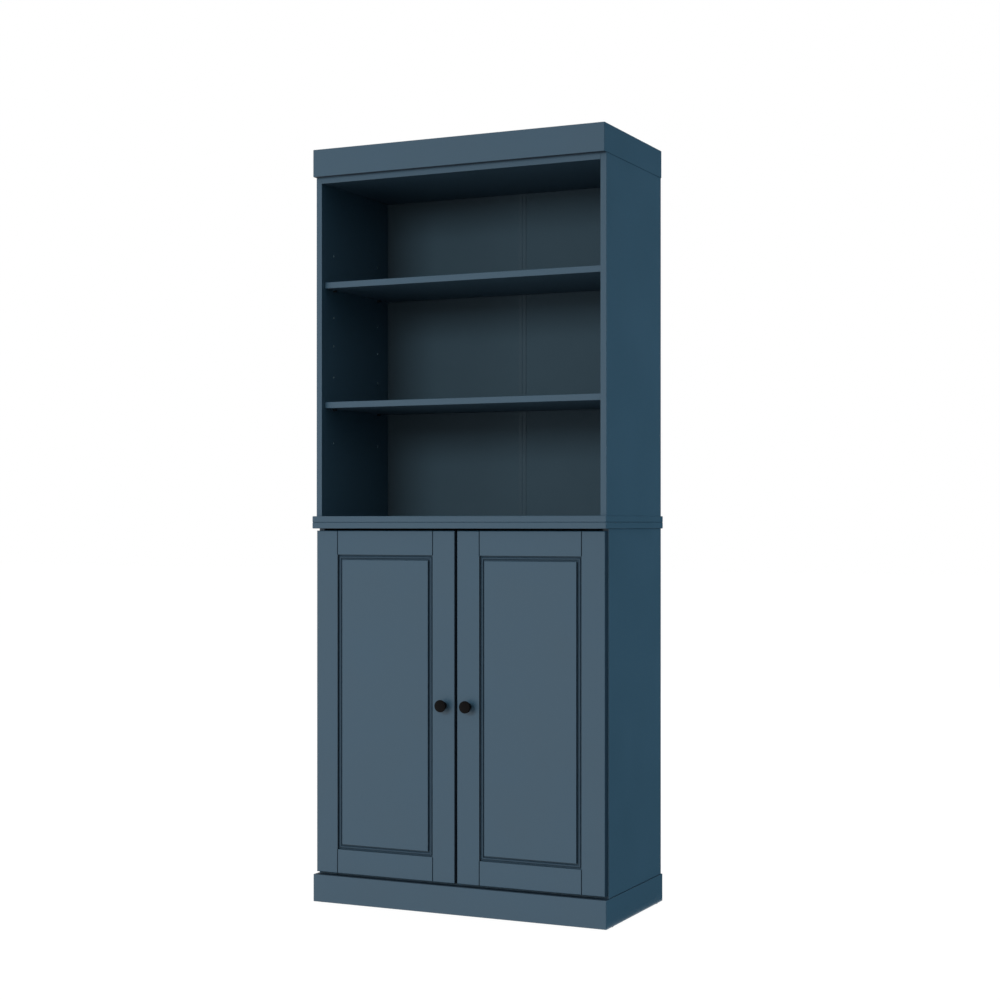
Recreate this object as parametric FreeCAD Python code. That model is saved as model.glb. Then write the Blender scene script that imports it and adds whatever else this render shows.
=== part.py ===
import FreeCAD, Part
import os

# A bookcase in two stacked units: an open hutch on a base cabinet with two framed doors.
# Lengths are in millimetres. +X is to the right, +Y to the back, +Z up. The origin is on the
# floor, below the middle of the overall box, which reaches from the knobs to the rear edges.

# Case boards
case_width = 760.0
hutch_depth = 356.0
base_setback = 14.0
board = 15.0
board_ease = 1.0
trim_ease = 1.2
trim_corner_ease = 3.0
base_side_height = 841.0
hutch_side_height = 824.0

# Plinth, the frame that the base cabinet stands on
plinth_height = 68.0
plinth_board = 15.0
plinth_front_overhang = 9.5
plinth_side_overhang = 4.0
plinth_cleat_depth = 22.0
plinth_cleat_height = 40.0
glide_diameter = 12.0
glide_stand = 2.0
glide_ease = 0.8
glide_nail_diameter = 2.5
glide_nail_length = 12.0
glide_inset = 30.0

# The two boards at mid height, and the crown
mid_front_overhang = 13.0
mid_side_overhang = 5.0
mid_ease = 1.8
crown_height = 66.0
crown_board = 15.0
crown_front_overhang = 15.0
crown_side_overhang = 1.5
restraint_hole_diameter = 3.0
restraint_hole_depth = 12.0
restraint_hole_spacing = 64.0

# Back sheets in grooves, with the strip that joins them
back_sheet = 3.0
back_recess = 16.0
back_groove_depth = 6.0
back_groove_play = 0.4
back_tongue = 5.0
back_joint_x = 18.5
joiner_width = 20.0
joiner_flange = 1.0
joiner_web = 2.0
joiner_crease_width = 3.0
joiner_crease_depth = 0.8

# Shelf pins and shelves, which sit in the same rows of holes in both units
pin_diameter = 5.0
pin_length = 17.0
pin_hole_depth = 9.0
pin_end_gap = 0.5
pin_tip_ease = 0.6
pin_row_behind_front = 57.0
pin_row_spacing = 224.0
pin_levels = (180.0, 261.0, 342.0, 418.0, 488.0, 553.0, 640.0)
lower_shelf_level = 261.0
upper_shelf_level = 553.0
shelf_play = 1.0
shelf_back_gap = 2.0
hutch_shelf_setback = 14.5
base_shelf_setback = 20.0

# Fasteners of the case
cam_diameter = 15.0
cam_height = 12.0
cam_backset = 34.0
cam_recess = 0.3
cam_slot_width = 1.6
cam_bolt_diameter = 6.4
cam_thread_diameter = 5.0
cam_thread_length = 11.0
cam_neck_diameter = 4.0
joint_inset = 60.0
dowel_diameter = 6.0
dowel_length = 30.0
dowel_face_depth = 10.0
dowel_inset = 110.0
case_screw_diameter = 5.0
case_screw_length = 50.0
case_screw_head = 9.0
screw_slot_width = 1.0
stacking_screw_length = 27.0
stacking_screw_x = 250.0
bore_play = 0.1
bore_end = 1.0

# Doors, each two stiles, two rails and a raised panel
door_thickness = 15.0
door_back_gap = 1.5
door_edge_inset = 2.3
door_meeting_gap = 6.4
door_bottom_gap = 6.0
door_top_gap = 5.0
stile_width = 58.0
rail_width = 58.0
door_ease = 2.2
joint_v_half_width = 1.2
joint_v_depth = 2.6
frame_groove_width = 5.0
frame_groove_behind_face = 6.4
frame_groove_depth = 10.0
frame_tongue = 8.5
tongue_play = 0.1
panel_border = 12.5
bead_width = 5.5
bead_below_face = 3.2
bead_ease = 2.2
field_ease = 1.4
bumper_diameter = 8.0
bumper_thickness = 1.2
bumper_ease = 0.5

# Knobs
knob_diameter = 29.0
knob_projection = 22.0
knob_foot_diameter = 17.0
knob_neck_diameter = 11.0
knob_above_door_bottom = 418.0
knob_screw_diameter = 4.0
knob_screw_grip = 10.0
knob_screw_head = 9.0
knob_screw_head_height = 2.4
pan_head_ease = 0.7

# Concealed hinges: a cup in the door, a cranked link on two pins, an arm on a plate in the case
hinge_from_door_end = 100.0
cup_diameter = 35.0
cup_depth = 11.5
cup_wall = 1.0
cup_from_door_edge = 21.5
cup_pin_from_edge = 9.0
cup_pin_depth = 5.0
cup_wing_width = 17.0
cup_wing_length = 58.0
cup_wing_thickness = 1.0
cup_screw_spacing = 45.0
cup_screw_diameter = 3.5
cup_screw_length = 10.0
cup_screw_head = 7.0
cup_screw_head_height = 1.8
arm_pivot_from_side = 15.0
arm_pivot_behind_front = 3.0
arm_width = 12.0
arm_thickness = 7.0
arm_length = 58.0
arm_wall = 1.2
arm_ramp = 4.0
arm_screw_diameter = 7.0
arm_screw_stand = 1.2
arm_screw_from_end = 8.5
link_width = 16.0
link_width_in_cup = 12.0
link_thickness = 3.0
link_rise_outward = 1.0
link_rise_forward = 5.5
link_knee_inward = 8.0
link_knee_forward = 2.4
link_bend_inward = 5.0
link_bend_forward = 3.0
fork_play = 0.6
link_eye_diameter = 5.1
hinge_pin_diameter = 3.0
cup_pin_overhang = 2.5
pin_running_play = 0.05
side_play = 0.25
mounting_plate_length = 38.0
mounting_plate_height = 44.0
mounting_plate_thickness = 3.5
mounting_plate_corner = 5.0
mounting_screw_line = 37.0
mounting_screw_spacing = 32.0
mounting_screw_diameter = 4.0
mounting_screw_length = 13.0
mounting_screw_head = 8.0

# Planes that follow from those sizes
half_width = case_width / 2
inner_half = half_width - board
door_before_hutch = door_thickness + door_back_gap - base_setback
front_reach = max(knob_projection + door_before_hutch, crown_front_overhang)
hutch_front = (front_reach - hutch_depth) / 2
base_front = hutch_front + base_setback
back = hutch_front + hutch_depth
plinth_front = hutch_front - plinth_front_overhang
mid_front = hutch_front - mid_front_overhang
crown_front = hutch_front - crown_front_overhang
sheet_back = back - back_recess
sheet_front = sheet_back - back_sheet

base_floor = plinth_height + board
base_side_top = plinth_height + base_side_height
base_top = base_side_top + board
hutch_floor = base_top + board
hutch_side_top = hutch_floor + hutch_side_height
hutch_ceiling = hutch_side_top - board
crown_top = hutch_side_top + crown_height

plinth_half = half_width + plinth_side_overhang
crown_half = half_width + crown_side_overhang
door_back = base_front - door_back_gap
door_front = door_back - door_thickness
door_outer = half_width - door_edge_inset
door_inner = door_meeting_gap / 2
frame_groove_front = door_front + frame_groove_behind_face
frame_groove_back = frame_groove_front + frame_groove_width
door_bottom = plinth_height + door_bottom_gap
door_top = base_side_top - door_top_gap

V = FreeCAD.Vector
RIGHT = V(1, 0, 0)
REAR = V(0, 1, 0)
UP = V(0, 0, 1)

nodes = {}
tools = {}


def box(x0, x1, y0, y1, z0, z1):
    return Part.makeBox(x1 - x0, y1 - y0, z1 - z0, V(x0, y0, z0))


def rod(start, direction, length, diameter):
    return Part.makeCylinder(diameter / 2, length, start, direction)


def prism(points, z0, z1):
    """A closed plan outline of (x, y) points, raised from z0 to z1."""
    corners = [V(x, y, z0) for x, y in points]
    outline = Part.makePolygon(corners + corners[:1])
    return Part.Face(outline).extrude(V(0, 0, z1 - z0))


def v_cut(x, face, half_width, depth, z0, z1):
    """An upright V that cuts into a front face; it stands out before the face by its own depth."""
    tip = (x, face + depth)
    return prism([(x - 2 * half_width, face - depth), tip, (x + 2 * half_width, face - depth)], z0, z1)


def mirrored(shape):
    return shape.mirror(V(0, 0, 0), RIGHT)


def lies_on(edge, plane):
    axis, place = plane
    bounds = edge.BoundBox
    low = getattr(bounds, axis + "Min")
    high = getattr(bounds, axis + "Max")
    return abs(low - place) < 0.001 and abs(high - place) < 0.001


def rounded(shape, radius, *plane_pairs):
    """Round each straight edge where two stated planes of the shape meet."""
    chosen = []
    for edge in shape.Edges:
        if any(lies_on(edge, first) and lies_on(edge, second) for first, second in plane_pairs):
            chosen.append(edge)
    return shape.makeFillet(radius, chosen)


def add(name, *shapes):
    nodes.setdefault(name, []).extend(shapes)


def cut(name, *shapes):
    tools.setdefault(name, []).extend(shapes)


# ---- Fasteners of the case ----

def cam_joint(panel, side, entry, into, face):
    """A cam lock in a panel's face, and its bolt, which is screwed into the board that it meets."""
    centre = entry + into * cam_backset
    mouth = centre + face * (board / 2)
    bolt_hole = cam_bolt_diameter + 2 * bore_play
    cut(panel, rod(mouth, -face, cam_height + 2 * cam_recess, cam_diameter + 2 * bore_play))
    cut(panel, rod(entry, into, cam_backset, bolt_hole))
    cut(side, rod(entry, -into, cam_thread_length, cam_thread_diameter))
    lock = rod(mouth - face * cam_recess, -face, cam_height, cam_diameter)
    hook_hole = rod(centre, -into, cam_diameter, bolt_hole)
    half_slot = cam_slot_width / 2
    slot = box(-half_slot, half_slot, -cam_diameter / 4, cam_diameter / 4, -cam_slot_width, cam_slot_width)
    slot.Placement = FreeCAD.Placement(mouth, FreeCAD.Rotation(into, into.cross(face), face, "ZXY"))
    add("cam_locks", lock.cut([hook_hole, slot]))
    shank_length = cam_backset - cam_diameter / 2 - cam_recess
    thread = rod(entry - into * cam_thread_length, into, cam_thread_length, cam_thread_diameter)
    shank = rod(entry, into, shank_length, cam_bolt_diameter)
    neck = rod(entry + into * shank_length, into, cam_backset - shank_length, cam_neck_diameter)
    add("cam_bolts", thread.fuse([shank, neck]))


def dowel_joint(edge_board, face_board, entry, into):
    """A dowel that stands in one board's edge and enters the face of the other."""
    hole = dowel_diameter + 2 * bore_play
    edge_depth = dowel_length - dowel_face_depth
    cut(edge_board, rod(entry, into, edge_depth + bore_end, hole))
    cut(face_board, rod(entry, -into, dowel_face_depth + bore_end, hole))
    add("wood_dowels", rod(entry - into * dowel_face_depth, into, dowel_length, dowel_diameter))


def sunk_screw(node, seat, into, diameter, length, head_diameter):
    """A countersunk screw, flush with its seat, and the holes that it needs in any board."""
    head_height = (head_diameter - diameter) / 2
    head = Part.makeCone(head_diameter / 2, diameter / 2, head_height, seat, into)
    recess = Part.makeCone(
        head_diameter / 2 + bore_play, diameter / 2 + bore_play, head_height, seat, into
    )
    shank = rod(seat, into, length, diameter)
    half_slot = screw_slot_width / 2
    half_length = 0.35 * head_diameter
    slot = box(-half_slot, half_slot, -half_length, half_length, -half_slot, half_slot)
    slot.Placement = FreeCAD.Placement(seat, FreeCAD.Rotation(UP, into))
    add(node, head.fuse(shank).cut(slot))
    return recess.fuse(rod(seat, into, length + bore_end, diameter + 2 * bore_play))


def case_screw(through, holding, seat, into):
    hole = sunk_screw(
        "case_screws", seat, into, case_screw_diameter, case_screw_length, case_screw_head
    )
    cut(through, hole)
    cut(holding, hole)


# ---- Case boards ----

def side_panel(front, z0, z1):
    """A right-hand side panel with its front edge rounded, its back groove and its pin holes."""
    panel = box(inner_half, half_width, front, back, z0, z1)
    panel = rounded(
        panel,
        board_ease,
        (("Y", front), ("X", half_width)),
        (("Y", front), ("X", inner_half)),
    )
    groove_front = sheet_front - back_groove_play / 2
    groove_back = sheet_back + back_groove_play / 2
    groove = box(inner_half, inner_half + back_groove_depth, groove_front, groove_back, z0, z1)
    return panel.cut(groove)


def pin_positions(floor, levels):
    rows = [hutch_front + pin_row_behind_front]
    rows.append(rows[0] + pin_row_spacing)
    return [V(inner_half, y, floor + level) for level in levels for y in rows]


def pin_holes(floor):
    hole = pin_diameter + 2 * bore_play
    return [rod(place, RIGHT, pin_hole_depth, hole) for place in pin_positions(floor, pin_levels)]


def shelf_pins(floor):
    """Four pins for each of the two shelves of a unit."""
    for place in pin_positions(floor, (lower_shelf_level, upper_shelf_level)):
        start = place + RIGHT * (pin_hole_depth - pin_end_gap)
        pin = rod(start, -RIGHT, pin_length, pin_diameter)
        tip = [edge for edge in pin.Edges if lies_on(edge, ("X", start.x - pin_length))]
        pin = pin.makeChamfer(pin_tip_ease, tip)
        add("shelf_pins", pin, mirrored(pin))


def shelf(front, level, floor):
    """An adjustable shelf that lies on its pins, a little short of the sides and the back."""
    half = inner_half - shelf_play
    rear = sheet_front - joiner_flange - shelf_back_gap
    underside = floor + level + pin_diameter / 2
    top = underside + board
    plank = box(-half, half, front, rear, underside, top)
    return rounded(plank, board_ease, (("Y", front), ("Z", underside)), (("Y", front), ("Z", top)))


def back_sheets(prefix, floor, ceiling):
    """Two thin sheets with their outer edges in the grooves, and the strip between them."""
    edge = inner_half + back_tongue
    bottom = floor - back_tongue
    top = ceiling + back_tongue
    web = joiner_web / 2
    left_end = back_joint_x - web
    right_end = back_joint_x + web
    add(prefix + "_back_left", box(-edge, left_end, sheet_front, sheet_back, bottom, top))
    add(prefix + "_back_right", box(right_end, edge, sheet_front, sheet_back, bottom, top))
    x0 = back_joint_x - joiner_width / 2
    x1 = back_joint_x + joiner_width / 2
    front_flange = box(x0, x1, sheet_front - joiner_flange, sheet_front, floor, ceiling)
    front_flange = rounded(
        front_flange,
        joiner_flange / 2,
        (("X", x0), ("Y", sheet_front - joiner_flange)),
        (("X", x1), ("Y", sheet_front - joiner_flange)),
    )
    rear_flange = box(x0, x1, sheet_back, sheet_back + joiner_flange, floor, ceiling)
    middle = box(left_end, right_end, sheet_front, sheet_back, floor, ceiling)
    profile = middle.fuse([front_flange, rear_flange]).removeSplitter()
    face = sheet_front - joiner_flange
    crease = v_cut(back_joint_x, face, joiner_crease_width / 2, joiner_crease_depth, floor, ceiling)
    add(prefix + "_back_joiner", profile.cut(crease))


def back_groove(z0, z1):
    """The groove for both sheets across a panel that lies between z0 and z1."""
    reach = inner_half + back_groove_depth
    play = back_groove_play / 2
    return box(-reach, reach, sheet_front - play, sheet_back + play, z0, z1)


def round_corners(block, half, front):
    """Round the two upright front corners of a block."""
    left = (("X", -half), ("Y", front))
    right = (("X", half), ("Y", front))
    return rounded(block, trim_corner_ease, left, right)


def round_rim(shape, ease, half, front, z0, z1):
    """Round the upper and lower edges of a board along the outside of its front and ends."""
    chosen = []
    for edge in shape.Edges:
        middle = edge.CenterOfMass
        outside = middle.y < front + trim_corner_ease or abs(middle.x) > half - trim_corner_ease
        if outside and (lies_on(edge, ("Z", z0)) or lies_on(edge, ("Z", z1))):
            chosen.append(edge)
    return shape.makeFillet(ease, chosen)


def overhanging_board(z0):
    """One of the two boards at mid height, rounded along its front and ends."""
    half = half_width + mid_side_overhang
    z1 = z0 + board
    plank = round_corners(box(-half, half, mid_front, back, z0, z1), half, mid_front)
    return round_rim(plank, mid_ease, half, mid_front, z0, z1)


def mitred_boards(half, front, thickness, z0, z1):
    """The front and right boards of a frame that is mitred at its front corners."""
    block = round_corners(box(-half, half, front, back, z0, z1), half, front)
    inside = half - thickness
    tip = half + thickness
    before = front - thickness
    behind = front + thickness
    front_plan = [(-tip, before), (tip, before), (inside, behind), (-inside, behind)]
    side_plan = [(tip, before), (tip, back), (inside, back), (inside, behind)]
    boards = [block.common(prism(plan, z0, z1)) for plan in (front_plan, side_plan)]
    return [round_rim(shape, trim_ease, half, front, z0, z1) for shape in boards]


# ---- Plinth ----

def glide(x, y, board_name):
    """A round plastic glide with a nail, driven into the lower edge of a plinth board."""
    foot = rod(V(x, y, 0), UP, glide_stand, glide_diameter)
    rim = [edge for edge in foot.Edges if lies_on(edge, ("Z", 0.0))]
    foot = foot.makeChamfer(glide_ease, rim)
    nail = rod(V(x, y, glide_stand), UP, glide_nail_length, glide_nail_diameter)
    add("floor_glides", foot.fuse(nail))
    hole_diameter = glide_nail_diameter + 2 * bore_play
    cut(board_name, rod(V(x, y, glide_stand), UP, glide_nail_length + bore_end, hole_diameter))


def make_plinth():
    z0 = glide_stand
    z1 = plinth_height
    front_board, right_board = mitred_boards(plinth_half, plinth_front, plinth_board, z0, z1)
    add("plinth_front", front_board)
    add("plinth_right", right_board)
    add("plinth_left", mirrored(right_board))
    inside = plinth_half - plinth_board
    rear_face = back - plinth_board
    add("plinth_back", box(-inside, inside, rear_face, back, z0, z1))
    cleat_front = plinth_front + plinth_board
    cleat_rear = cleat_front + plinth_cleat_depth
    cleat_bottom = z1 - plinth_cleat_height
    add("plinth_front_cleat", box(-inside, inside, cleat_front, cleat_rear, cleat_bottom, z1))
    half = plinth_board / 2
    notch = box(-half, half, cleat_front, cleat_rear, cleat_bottom, z1)
    brace = box(-half, half, cleat_front, rear_face, z0, z1).cut(notch)
    add("plinth_centre_brace", brace)
    side_x = plinth_half - half
    front_y = plinth_front + plinth_board + glide_inset
    rear_y = back - glide_inset
    for y in (front_y, rear_y):
        glide(side_x, y, "plinth_right")
        glide(-side_x, y, "plinth_left")
        glide(0.0, y, "plinth_centre_brace")


def join_plinth():
    """Dowels from the plinth's upper edges into the base cabinet."""
    overlap = (plinth_half - plinth_board + half_width) / 2
    for y in (base_front + dowel_inset, back - dowel_inset):
        dowel_joint("plinth_right", "base_right_side", V(overlap, y, plinth_height), -UP)
        dowel_joint("plinth_left", "base_left_side", V(-overlap, y, plinth_height), -UP)
        dowel_joint("plinth_centre_brace", "base_bottom_panel", V(0, y, plinth_height), -UP)


# ---- Base cabinet ----

def make_base():
    right = side_panel(base_front, plinth_height, base_side_top).cut(pin_holes(base_floor))
    add("base_right_side", right)
    add("base_left_side", mirrored(right))
    floor = box(-inner_half, inner_half, base_front, back, plinth_height, base_floor)
    floor = rounded(floor, board_ease, (("Y", base_front), ("Z", base_floor)))
    add("base_bottom_panel", floor)
    cut("base_bottom_panel", back_groove(base_floor - back_groove_depth, base_floor))
    add("base_top_panel", overhanging_board(base_side_top))
    cut("base_top_panel", back_groove(base_side_top, base_side_top + back_groove_depth))
    back_sheets("base", base_floor, base_side_top)
    shelf_front = base_front + base_shelf_setback
    add("base_lower_shelf", shelf(shelf_front, lower_shelf_level, base_floor))
    add("base_upper_shelf", shelf(shelf_front, upper_shelf_level, base_floor))
    shelf_pins(base_floor)


def join_base():
    cam_rows = (base_front + joint_inset, back - joint_inset)
    middle = (base_front + back) / 2
    for sign, side in ((1, "base_right_side"), (-1, "base_left_side")):
        edge = V(sign * inner_half, 0, plinth_height + board / 2)
        into = V(-sign, 0, 0)
        for y in cam_rows:
            cam_joint("base_bottom_panel", side, edge + REAR * y, into, -UP)
            seat = V(sign * (half_width - board / 2), y, base_top)
            case_screw("base_top_panel", side, seat, -UP)
        dowel_joint("base_bottom_panel", side, edge + REAR * middle, into)
        top_edge = V(sign * (half_width - board / 2), middle, base_side_top)
        dowel_joint(side, "base_top_panel", top_edge, -UP)


def door_bumpers():
    """A thin pad on the bottom panel's front edge, behind each door's meeting stile."""
    x = door_inner + stile_width / 2
    z = (door_bottom + base_floor) / 2
    pad = rod(V(x, base_front, z), -REAR, bumper_thickness, bumper_diameter)
    rim = [edge for edge in pad.Edges if lies_on(edge, ("Y", base_front - bumper_thickness))]
    pad = pad.makeChamfer(bumper_ease, rim)
    add("door_bumpers", pad, mirrored(pad))


# ---- Hutch ----

def make_hutch():
    right = side_panel(hutch_front, hutch_floor, hutch_side_top).cut(pin_holes(hutch_floor))
    add("hutch_right_side", right)
    add("hutch_left_side", mirrored(right))
    add("hutch_bottom_panel", overhanging_board(base_top))
    cut("hutch_bottom_panel", back_groove(hutch_floor - back_groove_depth, hutch_floor))
    ceiling = box(-inner_half, inner_half, hutch_front, back, hutch_ceiling, hutch_side_top)
    ceiling = rounded(ceiling, board_ease, (("Y", hutch_front), ("Z", hutch_ceiling)))
    add("hutch_top_panel", ceiling)
    cut("hutch_top_panel", back_groove(hutch_ceiling, hutch_ceiling + back_groove_depth))
    back_sheets("hutch", hutch_floor, hutch_ceiling)
    shelf_front = hutch_front + hutch_shelf_setback
    add("hutch_lower_shelf", shelf(shelf_front, lower_shelf_level, hutch_floor))
    add("hutch_upper_shelf", shelf(shelf_front, upper_shelf_level, hutch_floor))
    shelf_pins(hutch_floor)


def join_hutch():
    cam_rows = (hutch_front + joint_inset, back - joint_inset)
    middle = (hutch_front + back) / 2
    for sign, side in ((1, "hutch_right_side"), (-1, "hutch_left_side")):
        edge = V(sign * inner_half, 0, hutch_side_top - board / 2)
        into = V(-sign, 0, 0)
        for y in cam_rows:
            cam_joint("hutch_top_panel", side, edge + REAR * y, into, UP)
            seat = V(sign * (half_width - board / 2), y, base_top)
            case_screw("hutch_bottom_panel", side, seat, UP)
        dowel_joint("hutch_top_panel", side, edge + REAR * middle, into)
        lower_edge = V(sign * (half_width - board / 2), middle, hutch_floor)
        dowel_joint(side, "hutch_bottom_panel", lower_edge, UP)


def join_units():
    """Screws up through the base's top panel, which hold the hutch on the base."""
    for x in (-stacking_screw_x, stacking_screw_x):
        for y in (base_front + joint_inset, back - joint_inset):
            hole = sunk_screw(
                "stacking_screws",
                V(x, y, base_side_top),
                UP,
                case_screw_diameter,
                stacking_screw_length,
                case_screw_head,
            )
            cut("base_top_panel", hole)
            cut("hutch_bottom_panel", hole)


# ---- Crown ----

def make_crown():
    z0 = hutch_side_top
    front_board, right_board = mitred_boards(crown_half, crown_front, crown_board, z0, crown_top)
    add("crown_front", front_board)
    add("crown_right", right_board)
    add("crown_left", mirrored(right_board))
    inside = crown_half - crown_board
    lid_bottom = crown_top - board
    rail_front = back - crown_board
    add("crown_back_rail", box(-inside, inside, rail_front, back, z0, lid_bottom))
    add("crown_top_panel", box(-inside, inside, crown_front + crown_board, back, lid_bottom, crown_top))
    hole_z = (z0 + lid_bottom) / 2
    for x in (-restraint_hole_spacing / 2, restraint_hole_spacing / 2):
        pilot = rod(V(x, back, hole_z), -REAR, restraint_hole_depth, restraint_hole_diameter)
        cut("crown_back_rail", pilot)


def join_crown():
    lid_middle = crown_top - board / 2
    inside = crown_half - crown_board
    overlap = (crown_half - crown_board + half_width) / 2
    cam_rows = (hutch_front + joint_inset, back - joint_inset)
    for sign, side, upright in (
        (1, "crown_right", "hutch_right_side"),
        (-1, "crown_left", "hutch_left_side"),
    ):
        into = V(-sign, 0, 0)
        for y in cam_rows:
            cam_joint("crown_top_panel", side, V(sign * inside, y, lid_middle), into, -UP)
        for y in (hutch_front + dowel_inset, back - dowel_inset):
            dowel_joint(upright, side, V(sign * overlap, y, hutch_side_top), -UP)
        front_entry = V(sign * inside / 2, crown_front + crown_board, lid_middle)
        cam_joint("crown_top_panel", "crown_front", front_entry, REAR, -UP)
        rail_y = back - crown_board / 2
        rail_top = V(sign * inside / 2, rail_y, crown_top - board)
        dowel_joint("crown_back_rail", "crown_top_panel", rail_top, -UP)


# ---- Doors, made as the right-hand one ----

def pan_screw(seat, length, diameter, head_diameter, head_height):
    """A screw that enters the door's back at its seat, with a low head that stands on the seat."""
    head = rod(seat, REAR, head_height, head_diameter)
    rim = [edge for edge in head.Edges if lies_on(edge, ("Y", seat.y + head_height))]
    return head.makeChamfer(pan_head_ease, rim).fuse(rod(seat, -REAR, length, diameter))


def v_groove(x, z0, z1):
    """The fine V between a stile and a rail, cut into both at the door's face."""
    return v_cut(x, door_front, joint_v_half_width, joint_v_depth, z0, z1)


def frame_groove(x0, x1, z0, z1):
    """A groove in the inner edge of the frame."""
    return box(x0, x1, frame_groove_front, frame_groove_back, z0, z1)


def tongue(x0, x1, z0, z1):
    """A tongue with a little play in the groove."""
    return box(x0, x1, frame_groove_front + tongue_play, frame_groove_back - tongue_play, z0, z1)


def stile(x0, x1, outer_x):
    """An upright of the door's frame, with a groove along its inner edge."""
    shape = box(x0, x1, door_front, door_back, door_bottom, door_top)
    face = ("Y", door_front)
    shape = rounded(
        shape,
        door_ease,
        (face, ("X", outer_x)),
        (face, ("Z", door_bottom)),
        (face, ("Z", door_top)),
    )
    if outer_x == x0:
        joint_x = x1
        groove = frame_groove(x1 - frame_groove_depth, x1, door_bottom, door_top)
    else:
        joint_x = x0
        groove = frame_groove(x0, x0 + frame_groove_depth, door_bottom, door_top)
    lower_v = v_groove(joint_x, door_bottom, door_bottom + rail_width)
    upper_v = v_groove(joint_x, door_top - rail_width, door_top)
    return shape.cut([groove, lower_v, upper_v])


def rail(x0, x1, outer_z, inner_z):
    """A cross piece of the door's frame, with a tenon at each end and a groove for the panel."""
    z0 = min(outer_z, inner_z)
    z1 = max(outer_z, inner_z)
    shape = box(x0, x1, door_front, door_back, z0, z1)
    shape = rounded(shape, door_ease, (("Y", door_front), ("Z", outer_z)))
    inwards = 1 if inner_z > outer_z else -1
    groove_floor = inner_z - inwards * frame_groove_depth
    groove_z0 = min(groove_floor, inner_z)
    groove_z1 = max(groove_floor, inner_z)
    shape = shape.cut(
        [
            frame_groove(x0, x1, groove_z0, groove_z1),
            v_groove(x0, z0, z1),
            v_groove(x1, z0, z1),
        ]
    )
    tenon_z0 = min(groove_floor, outer_z)
    tenon_z1 = max(groove_floor, outer_z)
    reach = frame_tongue
    left_tenon = tongue(x0 - reach, x0, tenon_z0, tenon_z1)
    right_tenon = tongue(x1, x1 + reach, tenon_z0, tenon_z1)
    return shape.fuse([left_tenon, right_tenon])


def panel_frame(x0, x1, z0, z1, inset, front, rear):
    return box(x0 + inset, x1 - inset, front, rear, z0 + inset, z1 - inset)


def rounded_face(shape, radius, front):
    """Round the edges of a shape that lie in its front plane."""
    chosen = [edge for edge in shape.Edges if lies_on(edge, ("Y", front))]
    return shape.makeFillet(radius, chosen)


def door_panel(x0, x1, z0, z1):
    """A panel with a tongue all round, a raised field, and a bead in the sunk border."""
    border_floor = frame_groove_front + tongue_play
    reach = frame_tongue
    plate = tongue(x0 - reach, x1 + reach, z0 - reach, z1 + reach)
    field = panel_frame(x0, x1, z0, z1, panel_border, door_front, border_floor)
    field = rounded_face(field, field_ease, door_front)
    quirk = (panel_border - bead_width) / 2
    bead_front = door_front + bead_below_face
    bead = panel_frame(x0, x1, z0, z1, quirk, bead_front, border_floor)
    bead = bead.cut(panel_frame(x0, x1, z0, z1, quirk + bead_width, bead_front, border_floor))
    bead = rounded_face(bead, bead_ease, bead_front)
    return plate.fuse([field, bead])


def knob(x, z):
    """A turned knob: a foot, a slim neck and a broad head with a shallow ring in its face."""
    foot = knob_foot_diameter / 2
    neck = knob_neck_diameter / 2
    head = knob_diameter / 2
    reach = knob_projection
    ring_inner = 0.74 * head
    dome_rise = 0.05 * reach
    dome_radius = (ring_inner**2 + dome_rise**2) / (2 * dome_rise)
    dome_middle = reach - dome_radius + (dome_radius**2 - ring_inner**2 / 4) ** 0.5

    def at(radius, out):
        return V(x + radius, door_front - out, z)

    def line(start, end):
        return Part.makeLine(at(*start), at(*end))

    def arc(start, middle, end):
        return Part.Arc(at(*start), at(*middle), at(*end)).toShape()

    foot_rim = (foot, 0.07 * reach)
    neck_start = (neck, 0.3 * reach)
    neck_end = (neck, 0.39 * reach)
    flare = (0.93 * head, 0.68 * reach)
    widest_start = (head, 0.76 * reach)
    widest_end = (head, 0.83 * reach)
    face_rim = (0.86 * head, 0.93 * reach)
    ring_end = (ring_inner, reach - dome_rise)
    crest = (0, reach)
    profile = [
        line((0, 0), (foot, 0)),
        line((foot, 0), foot_rim),
        arc(foot_rim, (neck + 0.8, 0.16 * reach), neck_start),
        line(neck_start, neck_end),
        arc(neck_end, (0.62 * head, 0.57 * reach), flare),
        arc(flare, (0.985 * head, 0.72 * reach), widest_start),
        line(widest_start, widest_end),
        arc(widest_end, (0.97 * head, 0.895 * reach), face_rim),
        arc(face_rim, (0.8 * head, 0.925 * reach), ring_end),
        arc(ring_end, (ring_inner / 2, dome_middle), crest),
        line(crest, (0, 0)),
    ]
    return Part.Face(Part.Wire(profile)).revolve(at(0, 0), REAR, 360)


def make_door():
    """The right-hand door's pieces by name, with its screws."""
    hinge_x = door_outer - stile_width
    meeting_x = door_inner + stile_width
    lower_z = door_bottom + rail_width
    upper_z = door_top - rail_width
    hinge_stile = stile(hinge_x, door_outer, door_outer)
    meeting_stile = stile(door_inner, meeting_x, door_inner)
    knob_x = door_inner + stile_width / 2
    knob_z = door_bottom + knob_above_door_bottom
    knob_shape = knob(knob_x, knob_z)
    seat = V(knob_x, door_back, knob_z)
    grip = door_thickness + knob_screw_grip
    shaft_hole = rod(seat, -REAR, grip + bore_end, knob_screw_diameter + 2 * bore_play)
    screw = pan_screw(seat, grip, knob_screw_diameter, knob_screw_head, knob_screw_head_height)
    return {
        "hinge_stile": hinge_stile.cut(hinge_holes()),
        "meeting_stile": meeting_stile.cut(shaft_hole),
        "top_rail": rail(meeting_x, hinge_x, door_top, upper_z),
        "bottom_rail": rail(meeting_x, hinge_x, door_bottom, lower_z),
        "panel": door_panel(meeting_x, hinge_x, lower_z, upper_z),
        "knob": knob_shape.cut(shaft_hole),
        "screws": screw,
    }


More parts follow.
